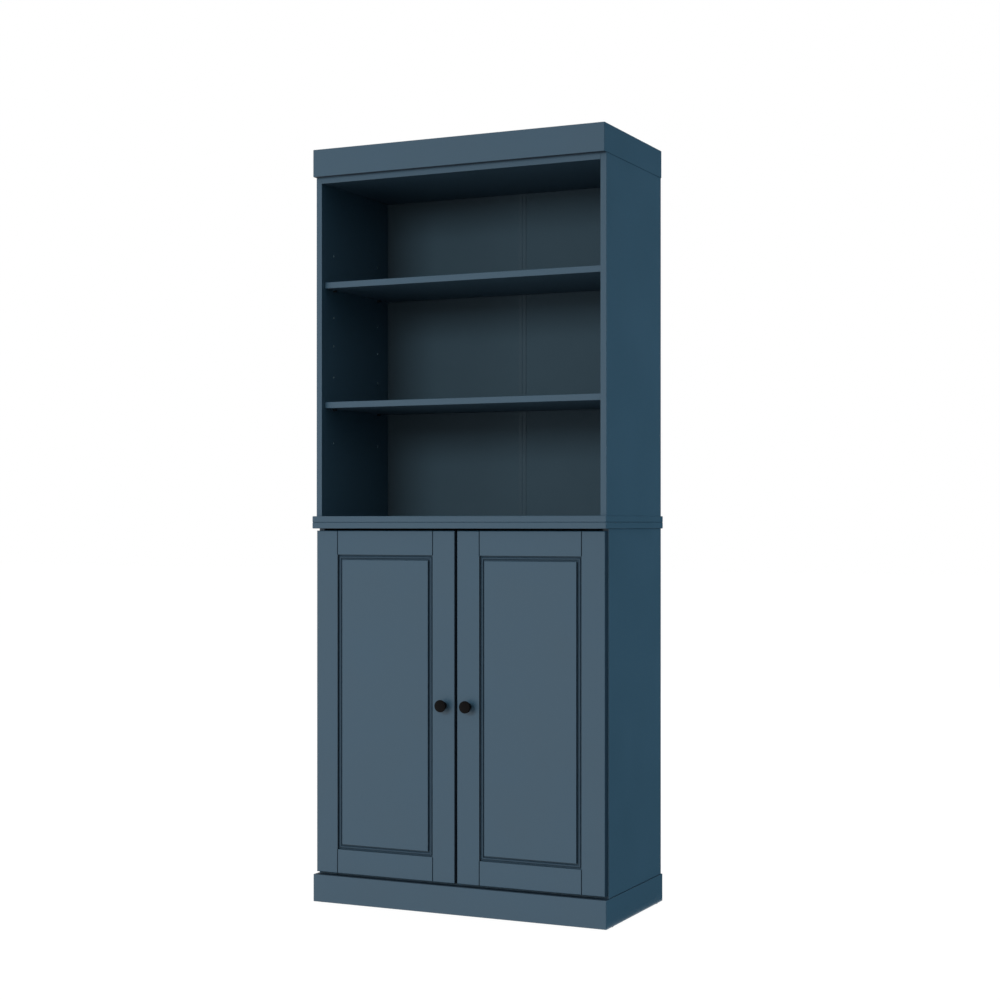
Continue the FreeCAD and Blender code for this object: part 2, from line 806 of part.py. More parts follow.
# ---- Concealed hinges, made for the right-hand door ----

hinge_levels = (door_bottom + hinge_from_door_end, door_top - hinge_from_door_end)
cup_x = door_outer - cup_from_door_edge
cup_pin_x = door_outer - cup_pin_from_edge
cup_pin_y = door_back - cup_pin_depth
arm_pin_x = inner_half - arm_pivot_from_side
arm_pin_y = base_front + arm_pivot_behind_front


def hinge_holes():
    """The bores in the hinge stile for each cup and its two screws."""
    holes = []
    for z in hinge_levels:
        holes.append(rod(V(cup_x, door_back, z), -REAR, cup_depth, cup_diameter))
        for offset in (-cup_screw_spacing / 2, cup_screw_spacing / 2):
            place = V(cup_x, door_back, z + offset)
            holes.append(rod(place, -REAR, cup_screw_length, cup_screw_diameter))
    return holes


def hinge_cup(z):
    """A pressed cup with wings on the door's back, and two lugs inside that hold the link's pin."""
    mouth = V(cup_x, door_back, z)
    inner = cup_diameter - 2 * cup_wall
    shell = rod(mouth, -REAR, cup_depth, cup_diameter)
    half_x = cup_wing_width / 2
    half_z = cup_wing_length / 2
    wings = box(
        cup_x - half_x, cup_x + half_x, door_back, door_back + cup_wing_thickness, z - half_z, z + half_z
    )
    wings = rounded(
        wings,
        0.45 * cup_wing_width,
        (("X", cup_x - half_x), ("Z", z - half_z)),
        (("X", cup_x + half_x), ("Z", z - half_z)),
        (("X", cup_x - half_x), ("Z", z + half_z)),
        (("X", cup_x + half_x), ("Z", z + half_z)),
    )
    hollow_depth = cup_depth - cup_wall
    hollow = rod(mouth + REAR * cup_wing_thickness, -REAR, hollow_depth + cup_wing_thickness, inner)
    body = shell.fuse(wings).cut(hollow)
    cheek = link_width_in_cup / 2 + side_play
    half_lug = link_eye_diameter / 2
    floor_y = door_back - hollow_depth
    lugs = []
    for z0, z1 in ((z + cheek, z + inner / 2), (z - inner / 2, z - cheek)):
        lug = box(cup_pin_x - half_lug, cup_pin_x + half_lug, floor_y, cup_pin_y + half_lug, z0, z1)
        lugs.append(lug.common(rod(mouth, -REAR, cup_depth, inner + cup_wall)))
    body = body.fuse(lugs)
    bore = rod(
        V(cup_pin_x, cup_pin_y, z - inner / 2),
        UP,
        inner,
        hinge_pin_diameter + 2 * pin_running_play,
    )
    screw_holes = []
    for offset in (-cup_screw_spacing / 2, cup_screw_spacing / 2):
        place = V(cup_x, door_back, z + offset)
        screw_holes.append(rod(place, REAR, cup_wing_thickness, cup_screw_diameter + 2 * bore_play))
    return body.cut([bore] + screw_holes)


def cup_screws(z):
    """The two screws that hold a cup's wings to the door."""
    screws = []
    for offset in (-cup_screw_spacing / 2, cup_screw_spacing / 2):
        seat = V(cup_x, door_back + cup_wing_thickness, z + offset)
        screws.append(
            pan_screw(seat, cup_screw_length, cup_screw_diameter, cup_screw_head, cup_screw_head_height)
        )
    return screws


def link_route():
    """The middle line of the cranked link, from the arm's pin round the cup's rim to the cup's pin."""
    return [
        V(arm_pin_x, arm_pin_y, 0),
        V(arm_pin_x + link_rise_outward, arm_pin_y - link_rise_forward, 0),
        V(cup_pin_x - link_knee_inward, cup_pin_y - link_knee_forward, 0),
        V(cup_pin_x - link_bend_inward, cup_pin_y - link_bend_forward, 0),
        V(cup_pin_x, cup_pin_y, 0),
    ]


def hinge_link(z):
    """A cranked plate with an eye at each end, forked round the arm and narrower in the cup."""
    route = link_route()
    widths = (link_width, link_width, link_width_in_cup, link_width_in_cup)
    pieces = []
    for start, end, width in zip(route, route[1:], widths):
        low = V(0, 0, z - width / 2)
        along = (end - start).normalize()
        across = V(-along.y, along.x, 0) * (link_thickness / 2)
        corners = [start + across, end + across, end - across, start - across]
        outline = Part.makePolygon([corner + low for corner in corners + corners[:1]])
        pieces.append(Part.Face(outline).extrude(UP * width))
        pieces.append(rod(end + low, UP, width, link_thickness))
    for eye, width in ((route[0], link_width), (route[-1], link_width_in_cup)):
        pieces.append(rod(eye + V(0, 0, z - width / 2), UP, width, link_eye_diameter))
    plate = pieces[0].fuse(pieces[1:]).removeSplitter()
    fork = arm_width + 2 * side_play
    notch = rod(V(arm_pin_x, arm_pin_y, z - fork / 2), UP, fork, arm_thickness + 2 * fork_play)
    low = V(0, 0, z - link_width / 2)
    bores = [rod(pin + low, UP, link_width, hinge_pin_diameter) for pin in (route[0], route[-1])]
    return plate.cut([notch] + bores)


def hinge_pins(z):
    """The two pins that are fixed in a link and turn in the arm and in the cup."""
    arm_pin = rod(V(arm_pin_x, arm_pin_y, z - link_width / 2), UP, link_width, hinge_pin_diameter)
    length = link_width_in_cup + 2 * cup_pin_overhang
    cup_pin = rod(V(cup_pin_x, cup_pin_y, z - length / 2), UP, length, hinge_pin_diameter)
    return [arm_pin, cup_pin]


def hinge_arm(z):
    """An arm with a round nose on the pin and a foot that lies on the mounting plate."""
    plate_face = inner_half - mounting_plate_thickness
    outer = arm_pin_x - arm_thickness / 2
    inner = arm_pin_x + arm_thickness / 2
    rear = base_front + arm_length
    foot_start = base_front + mounting_screw_line - mounting_plate_length / 2
    plan = [
        (outer, arm_pin_y),
        (inner, arm_pin_y),
        (inner, foot_start),
        (plate_face, foot_start + arm_ramp),
        (plate_face, rear),
        (outer + arm_wall, rear),
        (outer, rear - arm_wall),
    ]
    z0 = z - arm_width / 2
    body = prism(plan, z0, z0 + arm_width)
    nose = rod(V(arm_pin_x, arm_pin_y, z0), UP, arm_width, arm_thickness)
    half_channel = arm_screw_diameter / 2
    channel = box(
        outer + arm_wall,
        inner - arm_wall,
        arm_pin_y + arm_thickness,
        foot_start,
        z - half_channel,
        z + half_channel,
    )
    bore = rod(V(arm_pin_x, arm_pin_y, z0), UP, arm_width, hinge_pin_diameter + 2 * pin_running_play)
    body = body.fuse(nose).cut([channel, bore])
    screw_heads = []
    half_slot = screw_slot_width / 2
    for y in (foot_start + arm_screw_from_end, rear - arm_screw_from_end):
        head = rod(V(outer, y, z), -RIGHT, arm_screw_stand, arm_screw_diameter)
        slot_top = outer - arm_screw_stand
        slot = box(slot_top, outer, y - half_slot, y + half_slot, z - half_channel, z + half_channel)
        screw_heads.append(head.cut(slot.translated(RIGHT * -half_slot)))
    return body.fuse(screw_heads)


def mounting_plate(z):
    """A flat plate on the case side, with two screws on the line of the hinge holes."""
    face = inner_half - mounting_plate_thickness
    middle = base_front + mounting_screw_line
    y0 = middle - mounting_plate_length / 2
    y1 = middle + mounting_plate_length / 2
    z0 = z - mounting_plate_height / 2
    z1 = z + mounting_plate_height / 2
    plate = box(face, inner_half, y0, y1, z0, z1)
    corners = [(("Y", y), ("Z", end)) for y in (y0, y1) for end in (z0, z1)]
    plate = rounded(plate, mounting_plate_corner, *corners)
    for offset in (-mounting_screw_spacing / 2, mounting_screw_spacing / 2):
        hole = sunk_screw(
            "hinge_plate_screws",
            V(face, middle, z + offset),
            RIGHT,
            mounting_screw_diameter,
            mounting_screw_length,
            mounting_screw_head,
        )
        plate = plate.cut(hole)
        cut("base_right_side", hole)
        cut("base_left_side", mirrored(hole))
    return plate


def make_hinges():
    for z in hinge_levels:
        plate = mounting_plate(z)
        arm = hinge_arm(z)
        add("hinge_mounting_plates", plate, mirrored(plate))
        add("hinge_arms", arm, mirrored(arm))
        door_pieces = {
            "hinge_links": [hinge_link(z)],
            "hinge_pins": hinge_pins(z),
            "door_hinge_cups": [hinge_cup(z)],
            "door_screws": cup_screws(z),
        }
        for name, shapes in door_pieces.items():
            for shape in shapes:
                add("right_" + name, shape)
                add("left_" + name, mirrored(shape))
    for screw in list(nodes["hinge_plate_screws"]):
        add("hinge_plate_screws", mirrored(screw))


def make_doors():
    for name, shape in make_door().items():
        add("right_door_" + name, shape)
        add("left_door_" + name, mirrored(shape))


make_plinth()
make_base()
make_hutch()
make_crown()
join_plinth()
join_base()
join_hutch()
join_units()
join_crown()
make_doors()
make_hinges()
door_bumpers()

os.makedirs("parts", exist_ok=True)
for name, shapes in nodes.items():
    finished = [shape.cut(tools[name]) if name in tools else shape for shape in shapes]
    piece = finished[0] if len(finished) == 1 else Part.makeCompound(finished)
    piece.exportStep("parts/" + name + ".step")
print(len(nodes), "nodes")
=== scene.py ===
import math

import bmesh
import bpy
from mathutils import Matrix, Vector


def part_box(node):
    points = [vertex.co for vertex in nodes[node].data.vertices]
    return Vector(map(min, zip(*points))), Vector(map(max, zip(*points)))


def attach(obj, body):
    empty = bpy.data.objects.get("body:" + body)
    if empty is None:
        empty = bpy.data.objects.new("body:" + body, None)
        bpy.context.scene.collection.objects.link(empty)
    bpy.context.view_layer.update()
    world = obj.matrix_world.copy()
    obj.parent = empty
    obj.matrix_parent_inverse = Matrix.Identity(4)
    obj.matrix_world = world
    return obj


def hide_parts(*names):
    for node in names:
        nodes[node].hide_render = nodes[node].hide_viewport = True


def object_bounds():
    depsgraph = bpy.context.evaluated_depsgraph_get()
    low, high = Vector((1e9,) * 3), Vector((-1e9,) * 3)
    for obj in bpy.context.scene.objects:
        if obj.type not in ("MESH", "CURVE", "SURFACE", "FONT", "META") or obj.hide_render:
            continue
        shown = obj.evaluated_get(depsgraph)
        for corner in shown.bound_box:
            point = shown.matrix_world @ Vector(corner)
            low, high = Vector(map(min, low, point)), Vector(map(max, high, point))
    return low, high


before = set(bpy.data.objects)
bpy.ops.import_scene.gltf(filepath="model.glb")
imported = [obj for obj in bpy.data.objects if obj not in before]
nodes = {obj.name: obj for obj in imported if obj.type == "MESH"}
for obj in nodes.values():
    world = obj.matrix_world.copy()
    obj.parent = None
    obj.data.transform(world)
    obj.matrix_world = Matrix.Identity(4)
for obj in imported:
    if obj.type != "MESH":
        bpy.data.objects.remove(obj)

cad_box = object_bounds()


# ---- Case boards ----
# Sides, panels, shelves, crown and plinth are sawn from particle board. Faces and front edges
# carry a satin blue-grey paint; the rear edges, which face the wall, are left raw.

def linear(hex_colour):
    """An sRGB hex colour as the linear red, green, blue and alpha that Blender works in."""
    channels = [int(hex_colour[place : place + 2], 16) / 255 for place in (1, 3, 5)]
    straight = [c / 12.92 if c <= 0.04045 else ((c + 0.055) / 1.055) ** 2.4 for c in channels]
    return (*straight, 1.0)


def add_node(tree, kind, inputs, **settings):
    """Add a node; each input, by name or place, gets a value or the output that feeds it."""
    made = tree.nodes.new(kind)
    for name, value in settings.items():
        setattr(made, name, value)
    for place, value in inputs.items():
        if isinstance(value, bpy.types.NodeSocket):
            tree.links.new(value, made.inputs[place])
        else:
            made.inputs[place].default_value = value
    return made


def start_material(name):
    """A new material with its node tree, its shader and the object coordinates."""
    material = bpy.data.materials.new(name)
    material.use_nodes = True
    tree = material.node_tree
    shader = tree.nodes["Principled BSDF"]
    place = add_node(tree, "ShaderNodeTexCoord", {})
    return material, tree, shader, place


def per_mm(size):
    """The texture scale at which one feature is about size millimetres wide."""
    return 1000 / size


def finish_nodes(material, *names):
    """Give these CAD pieces the material, all over."""
    for name in names:
        nodes[name].data.materials.clear()
        nodes[name].data.materials.append(material)


def painted_board(
    name, underside_shade, upper_shade=0.0, raw_rear=False, drilled=False, shade_sunk_border=False, shade_sideways_faces=False
):
    """Sprayed satin paint on a pressed board. The eye gets an even colour with a low sheen, barely
    clouded from one hand's width to the next, and the faint orange peel of a spray gun, drawn
    5 mm wide to show. Painted shade turns the paint darker and rougher: on undersides and upper
    faces by the shares given, and in the door's sunk border and on sideways faces where asked.
    The raw board is tan, with chips about 3 mm long."""
    border_shade = 0.6
    shaded_roughness = 0.8
    raw_roughness = 0.85
    raw_depth = 0.0002
    material, tree, shader, place = start_material(name)
    cloud = add_node(
        tree, "ShaderNodeTexNoise", {"Vector": place.outputs["Object"], "Scale": per_mm(160), "Detail": 2.0}
    )
    colour = add_node(
        tree,
        "ShaderNodeMix",
        {0: cloud.outputs["Fac"], 6: linear("#2B4B5E"), 7: linear("#2F5065")},
        data_type="RGBA",
    ).outputs[2]
    peel = add_node(
        tree, "ShaderNodeTexNoise", {"Vector": place.outputs["Object"], "Scale": per_mm(5), "Detail": 3.0}
    )
    relief = add_node(
        tree, "ShaderNodeBump", {"Strength": 0.3, "Distance": 0.0005, "Height": peel.outputs["Fac"]}
    )
    gloss = add_node(
        tree, "ShaderNodeMapRange", {"Value": cloud.outputs["Fac"], "To Min": 0.4, "To Max": 0.48}
    ).outputs["Result"]
    spot = add_node(tree, "ShaderNodeSeparateXYZ", {0: place.outputs["Object"]})
    facing = add_node(tree, "ShaderNodeSeparateXYZ", {0: place.outputs["Normal"]})
    # Painted shade: faces that point down get the dark, rough paint by the underside share.
    painted_shade = add_node(
        tree,
        "ShaderNodeMapRange",
        {"Value": facing.outputs["Z"], "From Min": -0.5, "From Max": -0.95, "To Max": underside_shade},
    ).outputs["Result"]
    # Painted shade on faces that point up, by the upper share.
    if upper_shade:
        upper = add_node(
            tree,
            "ShaderNodeMapRange",
            {"Value": facing.outputs["Z"], "From Min": 0.5, "From Max": 0.95, "To Max": upper_shade},
        )
        painted_shade = add_node(
            tree, "ShaderNodeMath", {0: upper.outputs["Result"], 1: painted_shade}, operation="MAXIMUM"
        ).outputs[0]
    # Painted shade in the border sunk behind the door's face, a band of depth along Y.
    if shade_sunk_border:
        sunk = add_node(
            tree, "ShaderNodeMath", {0: spot.outputs["Y"], 1: sunk_middle, 2: sunk_half}, operation="COMPARE"
        )
        sunk = add_node(
            tree, "ShaderNodeMath", {0: sunk.outputs[0], 1: border_shade}, operation="MULTIPLY"
        )
        painted_shade = add_node(
            tree, "ShaderNodeMath", {0: sunk.outputs[0], 1: painted_shade}, operation="MAXIMUM"
        ).outputs[0]
    # Painted shade on faces that point sideways, such as the door frame's edges.
    if shade_sideways_faces:
        outward = add_node(tree, "ShaderNodeMath", {0: facing.outputs["X"]}, operation="ABSOLUTE")
        sideways_shade = add_node(
            tree, "ShaderNodeMapRange", {"Value": outward.outputs[0], "From Min": 0.5, "From Max": 0.95}
        )
        painted_shade = add_node(
            tree, "ShaderNodeMath", {0: sideways_shade.outputs["Result"], 1: painted_shade}, operation="MAXIMUM"
        ).outputs[0]
    # The painted shade mixes in a dark blue and a rougher gloss.
    colour = add_node(
        tree, "ShaderNodeMix", {0: painted_shade, 6: colour, 7: linear("#0C2839")}, data_type="RGBA"
    ).outputs[2]
    gloss = add_node(
        tree, "ShaderNodeMix", {0: painted_shade, 2: gloss, 3: shaded_roughness}, data_type="FLOAT"
    ).outputs[0]
    if drilled:
        depth = add_node(tree, "ShaderNodeMath", {0: spot.outputs["X"]}, operation="ABSOLUTE")
        inside = add_node(
            tree, "ShaderNodeMath", {0: depth.outputs[0], 1: wall_middle, 2: wall_half}, operation="COMPARE"
        )
        within = add_node(
            tree,
            "ShaderNodeMath",
            {0: spot.outputs["Y"], 1: hole_zone_middle, 2: hole_zone_half},
            operation="COMPARE",
        )
        bored = add_node(
            tree, "ShaderNodeMath", {0: inside.outputs[0], 1: within.outputs[0]}, operation="MULTIPLY"
        )
        colour = add_node(
            tree, "ShaderNodeMix", {0: bored.outputs[0], 6: colour, 7: linear("#A8C2CC")}, data_type="RGBA"
        ).outputs[2]
    if raw_rear:
        rear = cad_box[1].y - raw_depth
        raw = add_node(
            tree, "ShaderNodeMath", {0: spot.outputs["Y"], 1: rear}, operation="GREATER_THAN"
        ).outputs[0]
        chips = add_node(
            tree, "ShaderNodeTexVoronoi", {"Vector": place.outputs["Object"], "Scale": per_mm(3)}
        )
        wood = add_node(
            tree,
            "ShaderNodeMix",
            {0: chips.outputs["Distance"], 6: linear("#B08F68"), 7: linear("#DCC29C")},
            data_type="RGBA",
        )
        colour = add_node(
            tree, "ShaderNodeMix", {0: raw, 6: colour, 7: wood.outputs[2]}, data_type="RGBA"
        ).outputs[2]
        gloss = add_node(
            tree, "ShaderNodeMix", {0: raw, 2: gloss, 3: raw_roughness}, data_type="FLOAT"
        ).outputs[0]
    tree.links.new(colour, shader.inputs["Base Color"])
    tree.links.new(gloss, shader.inputs["Roughness"])
    tree.links.new(relief.outputs["Normal"], shader.inputs["Normal"])
    shader.inputs["Specular IOR Level"].default_value = 0.8
    return material


# Painted shade on every board's undersides, heavier on the boards that overhang the doors and on the crown,
# and on the plinth's upper faces as well.
finish_nodes(
    painted_board("satin_paint_on_plinth_board", 0.35, upper_shade=0.9, raw_rear=True),
    "plinth_front",
    "plinth_left",
    "plinth_right",
    "plinth_back",
    "plinth_front_cleat",
    "plinth_centre_brace",
)
finish_nodes(
    painted_board("satin_paint_on_particle_board", 0.35, raw_rear=True),
    "base_bottom_panel",
    "base_lower_shelf",
    "base_upper_shelf",
    "hutch_top_panel",
    "hutch_lower_shelf",
    "hutch_upper_shelf",
    "crown_back_rail",
    "crown_top_panel",
)
finish_nodes(
    painted_board("satin_paint_on_overhanging_board", 0.9, raw_rear=True),
    "base_top_panel",
    "hutch_bottom_panel",
    "crown_front",
    "crown_left",
    "crown_right",
)


# ---- Side panels ----
# Four upright boards of the same painted particle board. The rows of holes for the shelf pins are
# drilled before the board is painted, so only the pale primer shows inside them.

side_low, side_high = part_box("hutch_right_side")
paint_depth = 0.0003
front_rim = 0.020
rear_rim = 0.022
wall_middle = (side_low.x + side_high.x) / 2
wall_half = (side_high.x - side_low.x) / 2 - paint_depth
hole_zone_middle = (side_low.y + front_rim + side_high.y - rear_rim) / 2
hole_zone_half = (side_high.y - rear_rim - side_low.y - front_rim) / 2
finish_nodes(
    painted_board("satin_paint_on_drilled_particle_board", 0.35, raw_rear=True, drilled=True),
    "base_left_side",
    "base_right_side",
    "hutch_left_side",
    "hutch_right_side",
)


# ---- Door frames and panels ----
# A frame of two stiles and two rails in fibreboard, round a raised panel with a beaded border. The
# pieces are glued up with tongues and sprayed in the case's paint. Their sideways edges and the
# sunk border get painted shade: darker, rougher paint.

door_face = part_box("left_door_panel")[0].y
# The band of depth behind the door's face whose paint gets painted shade.
sunk_from = 0.0006
sunk_to = 0.0070
sunk_middle = door_face + (sunk_from + sunk_to) / 2
sunk_half = (sunk_to - sunk_from) / 2
panel_paint = painted_board("satin_paint_on_moulded_fibreboard", 0.35, shade_sunk_border=True)
frame_paint = painted_board("satin_paint_on_sawn_fibreboard", 0.35, shade_sunk_border=True, shade_sideways_faces=True)
for side in ("left", "right"):
    finish_nodes(panel_paint, side + "_door_panel")
    for piece in ("hinge_stile", "meeting_stile", "top_rail", "bottom_rail"):
        finish_nodes(frame_paint, side + "_door_" + piece)


# ---- Back sheets ----
# Thin hardboard, two sheets to each unit, finished in the case's colour on the inside only. The
# rear shows the brown board with the print of the wire screen that it was pressed on.

def hardboard():
    """Screen-backed hardboard: a matt brown, clouded, with a square mesh pressed in; the mesh is
    drawn 3 mm wide so that it shows. The inner face has a thin, flat coat of the case's colour."""
    rear_facing = 0.5
    coat_roughness = 0.72
    bare_roughness = 0.85
    material, tree, shader, place = start_material("screen_back_hardboard")
    cloud = add_node(
        tree, "ShaderNodeTexNoise", {"Vector": place.outputs["Object"], "Scale": per_mm(90), "Detail": 4.0}
    )
    brown = add_node(
        tree,
        "ShaderNodeMix",
        {0: cloud.outputs["Fac"], 6: linear("#7C5C43"), 7: linear("#987A5C")},
        data_type="RGBA",
    )
    paint = add_node(
        tree,
        "ShaderNodeMix",
        {0: cloud.outputs["Fac"], 6: linear("#384D59"), 7: linear("#3C515D")},
        data_type="RGBA",
    )
    facing = add_node(tree, "ShaderNodeSeparateXYZ", {0: place.outputs["Normal"]})
    is_rear = add_node(
        tree, "ShaderNodeMath", {0: facing.outputs["Y"], 1: rear_facing}, operation="GREATER_THAN"
    ).outputs[0]
    colour = add_node(
        tree,
        "ShaderNodeMix",
        {0: is_rear, 6: paint.outputs[2], 7: brown.outputs[2]},
        data_type="RGBA",
    )
    roughness = add_node(
        tree, "ShaderNodeMix", {0: is_rear, 2: coat_roughness, 3: bare_roughness}, data_type="FLOAT"
    )
    wave_period = math.pi / 10  # The width of one of Blender's bands at a scale of 1
    waves = []
    for direction in ("X", "Z"):
        wave = add_node(
            tree,
            "ShaderNodeTexWave",
            {"Vector": place.outputs["Object"], "Scale": per_mm(3) * wave_period},
            bands_direction=direction,
        )
        waves.append(wave.outputs["Fac"])
    mesh = add_node(tree, "ShaderNodeMath", {0: waves[0], 1: waves[1]}, operation="MULTIPLY")
    pressed = add_node(tree, "ShaderNodeMath", {0: mesh.outputs[0], 1: is_rear}, operation="MULTIPLY")
    relief = add_node(
        tree, "ShaderNodeBump", {"Strength": 0.5, "Distance": 0.0004, "Height": pressed.outputs[0]}
    )
    tree.links.new(colour.outputs[2], shader.inputs["Base Color"])
    tree.links.new(roughness.outputs[0], shader.inputs["Roughness"])
    tree.links.new(relief.outputs["Normal"], shader.inputs["Normal"])
    shader.inputs["Specular IOR Level"].default_value = 0.5
    return material


finish_nodes(hardboard(), "base_back_left", "base_back_right", "hutch_back_left", "hutch_back_right")


# ---- Joiner strips ----
# An H-shaped strip in each unit, extruded in PVC of the case's colour. It is pushed over the inner
# edges of the two back sheets and grips them both.

def moulded_plastic(name, colour, roughness):
    """Moulded or extruded plastic: one colour all through, with a fine matt grain that breaks up
    the shine, drawn 2 mm wide to show."""
    spread = 0.06
    material, tree, shader, place = start_material(name)
    grain = add_node(
        tree, "ShaderNodeTexNoise", {"Vector": place.outputs["Object"], "Scale": per_mm(2), "Detail": 2.0}
    )
    gloss = add_node(
        tree,
        "ShaderNodeMapRange",
        {"Value": grain.outputs["Fac"], "To Min": roughness - spread, "To Max": roughness + spread},
    )
    relief = add_node(
        tree, "ShaderNodeBump", {"Strength": 0.15, "Distance": 0.0002, "Height": grain.outputs["Fac"]}
    )
    shader.inputs["Base Color"].default_value = linear(colour)
    tree.links.new(gloss.outputs["Result"], shader.inputs["Roughness"])
    tree.links.new(relief.outputs["Normal"], shader.inputs["Normal"])
    return material


finish_nodes(moulded_plastic("extruded_pvc", "#374C58", 0.6), "base_back_joiner", "hutch_back_joiner")


# ---- Floor glides and door bumpers ----
# Six moulded polyethylene glides are nailed into the plinth, and a clear vinyl pad is stuck on the
# bottom panel behind each door, where it closes.

finish_nodes(moulded_plastic("moulded_polyethylene", "#1C1C1C", 0.6), "floor_glides")
finish_nodes(moulded_plastic("clear_vinyl", "#B9BBB4", 0.3), "door_bumpers")


# ---- Fasteners, shelf pins and hinges ----
# Turned and stamped steel screws, bolts and pins, and hinges pressed from steel strip. They come
# plated, and are screwed, knocked or pushed into bores in the boards.

def plated_metal(name, colour, roughness, grain_mm):
    """Plated metal: a clear shine with a faint lengthwise grain, made wider than it is to show."""
    spread = 0.07
    material, tree, shader, place = start_material(name)
    stretch = add_node(
        tree, "ShaderNodeMapping", {"Vector": place.outputs["Object"], "Scale": (1.0, 1.0, 0.15)}
    )
    grain = add_node(
        tree,
        "ShaderNodeTexNoise",
        {"Vector": stretch.outputs["Vector"], "Scale": per_mm(grain_mm), "Detail": 3.0},
    )
    gloss = add_node(
        tree,
        "ShaderNodeMapRange",
        {"Value": grain.outputs["Fac"], "To Min": roughness - spread, "To Max": roughness + spread},
    )
    shader.inputs["Base Color"].default_value = linear(colour)
    shader.inputs["Metallic"].default_value = 1.0
    tree.links.new(gloss.outputs["Result"], shader.inputs["Roughness"])
    return material


# Zinc gives a cool, slightly clouded shine; nickel a warmer and clearer one. Cast zinc is greyer
# and duller, and dark nickel looks nearly black.
zinc_plate = plated_metal("zinc_plated_steel", "#B9BBBC", 0.32, 1.5)
nickel_plate = plated_metal("nickel_plated_steel", "#C2BDB3", 0.24, 2.0)
cast_zinc = plated_metal("die_cast_zinc", "#9A9C9F", 0.42, 1.0)
dark_nickel = plated_metal("dark_nickel_plated_steel", "#3F4346", 0.38, 1.5)
finish_nodes(
    zinc_plate,
    "case_screws",
    "stacking_screws",
    "hinge_plate_screws",
    "cam_bolts",
    "left_hinge_pins",
    "right_hinge_pins",
)
finish_nodes(
    nickel_plate,
    "hinge_arms",
    "hinge_mounting_plates",
    "left_hinge_links",
    "right_hinge_links",
    "left_door_hinge_cups",
    "right_door_hinge_cups",
)
finish_nodes(cast_zinc, "cam_locks")
finish_nodes(dark_nickel, "shelf_pins")


# ---- Dowels ----
# Short pegs of turned and fluted beech. They are glued into the edges of the boards beside the
# cam bolts, and keep the boards in line.

def beech():
    """Unfinished beech: pale and pinkish, with short dark flecks along the grain, 2 mm apart."""
    material, tree, shader, place = start_material("raw_beech")
    stretch = add_node(
        tree, "ShaderNodeMapping", {"Vector": place.outputs["Object"], "Scale": (1.0, 1.0, 0.2)}
    )
    fleck = add_node(
        tree, "ShaderNodeTexNoise", {"Vector": stretch.outputs["Vector"], "Scale": per_mm(2), "Detail": 4.0}
    )
    colour = add_node(
        tree,
        "ShaderNodeMix",
        {0: fleck.outputs["Fac"], 6: linear("#C99B6C"), 7: linear("#E0BC90")},
        data_type="RGBA",
    )
    tree.links.new(colour.outputs[2], shader.inputs["Base Color"])
    shader.inputs["Roughness"].default_value = 0.7
    return material


finish_nodes(beech(), "wood_dowels")


# ---- Knobs ----
# One turned knob to a door, in steel with a satin black lacquer: a foot, a slim neck and a broad
# head with a shallow ring in its face. A screw through the stile holds it.

def black_lacquer():
    """Baked black lacquer on turned steel: near black, with a soft shine and very fine pimples,
    drawn 1.5 mm wide to show."""
    material, tree, shader, place = start_material("satin_black_lacquer")
    pimple = add_node(
        tree, "ShaderNodeTexNoise", {"Vector": place.outputs["Object"], "Scale": per_mm(1.5), "Detail": 2.0}
    )
    relief = add_node(
        tree, "ShaderNodeBump", {"Strength": 0.1, "Distance": 0.0001, "Height": pimple.outputs["Fac"]}
    )
    gloss = add_node(
        tree, "ShaderNodeMapRange", {"Value": pimple.outputs["Fac"], "To Min": 0.44, "To Max": 0.54}
    )
    shader.inputs["Base Color"].default_value = linear("#0B0909")
    shader.inputs["Specular IOR Level"].default_value = 0.09
    tree.links.new(gloss.outputs["Result"], shader.inputs["Roughness"])
    tree.links.new(relief.outputs["Normal"], shader.inputs["Normal"])
    return material


def arc_points(start, middle, end, steps):
    """Points on the circle through three (radius, height) pairs, without the first one."""
    (ax, ay), (bx, by), (cx, cy) = start, middle, end
    turn = 2 * (ax * (by - cy) + bx * (cy - ay) + cx * (ay - by))
    a2, b2, c2 = ax**2 + ay**2, bx**2 + by**2, cx**2 + cy**2
    ox = (a2 * (by - cy) + b2 * (cy - ay) + c2 * (ay - by)) / turn
    oy = (a2 * (cx - bx) + b2 * (ax - cx) + c2 * (bx - ax)) / turn
    radius = math.hypot(ax - ox, ay - oy)
    first = math.atan2(ay - oy, ax - ox)
    sweep = math.remainder(math.atan2(cy - oy, cx - ox) - first, 2 * math.pi)
    angles = [first + sweep * step / steps for step in range(1, steps + 1)]
    return [(ox + radius * math.cos(a), oy + radius * math.sin(a)) for a in angles]


